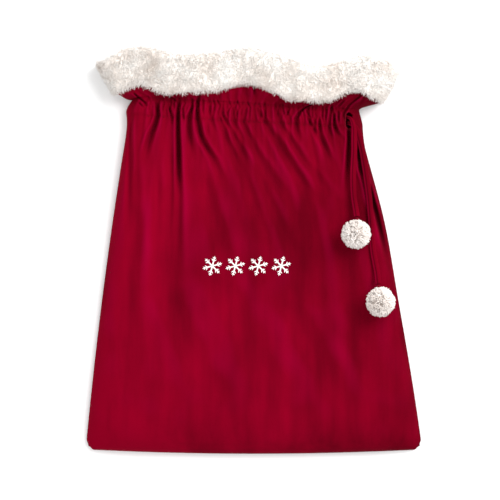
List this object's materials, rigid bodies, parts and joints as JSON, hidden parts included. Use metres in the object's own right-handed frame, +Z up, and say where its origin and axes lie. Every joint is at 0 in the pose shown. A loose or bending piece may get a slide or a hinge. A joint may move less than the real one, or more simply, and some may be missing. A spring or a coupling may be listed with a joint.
{
  "type": "drawstring gift sack",
  "caption": "Flat-lying velvet drawstring sack with a folded fleece cuff, a gathered casing, and a drawstring whose two tails end in yarn pompoms.",
  "frame": {"origin": "on the floor, under the middle of the sack's bounding box without its tails and pompoms", "axes": "+Y from the bottom seam to the mouth, +X across the sack towards the side where the tails come out, +Z up out of the front panel"},
  "size_m": [0.612, 0.737, 0.102],
  "materials": {
    "velvet": "crimson velour, short nap with soft streaks",
    "fleece": "cream sherpa fleece, curled pile",
    "yarn": "cream yarn, cut ends",
    "red_thread": "polyester sewing thread",
    "white_thread": "rayon embroidery thread, satin stitch",
    "backing": "non-woven cut-away backing"
  },
  "bodies": {
    "root": {"front_panel": "velvet", "back_panel": "velvet", "front_casing_facing": "velvet", "back_casing_facing": "velvet", "drawstring_front_run": "velvet", "drawstring_back_run": "velvet", "drawstring_right_bend": "velvet", "front_tail": "velvet", "side_tail": "velvet", "front_cuff": "fleece", "back_cuff": "fleece", "left_side_seam": "red_thread", "right_side_seam": "red_thread", "bottom_seam": "red_thread", "front_casing_stitches": "red_thread", "back_casing_stitches": "red_thread", "exit_buttonhole": "red_thread", "exit_bar_tacks": "red_thread", "snowflake_embroidery": "white_thread", "embroidery_backing": "backing"},
    "neck_end": {"drawstring_left_bend": "velvet"},
    "front_tail_end": {"upper_pompom_tie": "red_thread"},
    "upper_pompom": {"upper_pompom": "yarn"},
    "side_tail_end": {"lower_pompom_tie": "red_thread"},
    "lower_pompom": {"lower_pompom": "yarn"}
  },
  "joints": [
    {"name": "neck_gather", "type": "slide", "parent": "root", "child": "neck_end", "axis": [1, 0, 0], "range_m": [-0.06, 0.2], "deforming": ["front_panel", "back_panel", "front_casing_facing", "back_casing_facing", "front_cuff", "back_cuff", "drawstring_front_run", "drawstring_back_run", "left_side_seam", "right_side_seam", "front_casing_stitches", "back_casing_stitches"]},
    {"name": "front_tail_pull", "type": "slide", "parent": "root", "child": "front_tail_end", "axis": [0, -1, 0], "range_m": [-0.06, 0.2], "deforming": ["front_tail"]},
    {"name": "side_tail_pull", "type": "slide", "parent": "root", "child": "side_tail_end", "axis": [0, -1, 0], "range_m": [-0.06, 0.2], "deforming": ["side_tail"]},
    {"name": "upper_pompom_swing", "type": "hinge", "parent": "front_tail_end", "child": "upper_pompom", "pos_m": [0.184, 0.055, 0.062], "axis": [0, 0, 1], "range_deg": [-40, 40]},
    {"name": "lower_pompom_swing", "type": "hinge", "parent": "side_tail_end", "child": "lower_pompom", "pos_m": [0.223, -0.066, 0.057], "axis": [0, 0, 1], "range_deg": [-40, 40]}
  ],
  "couplings": [
    {"joint": "front_tail_pull", "follows": "neck_gather", "ratio": 1},
    {"joint": "side_tail_pull", "follows": "neck_gather", "ratio": 1}
  ]
}
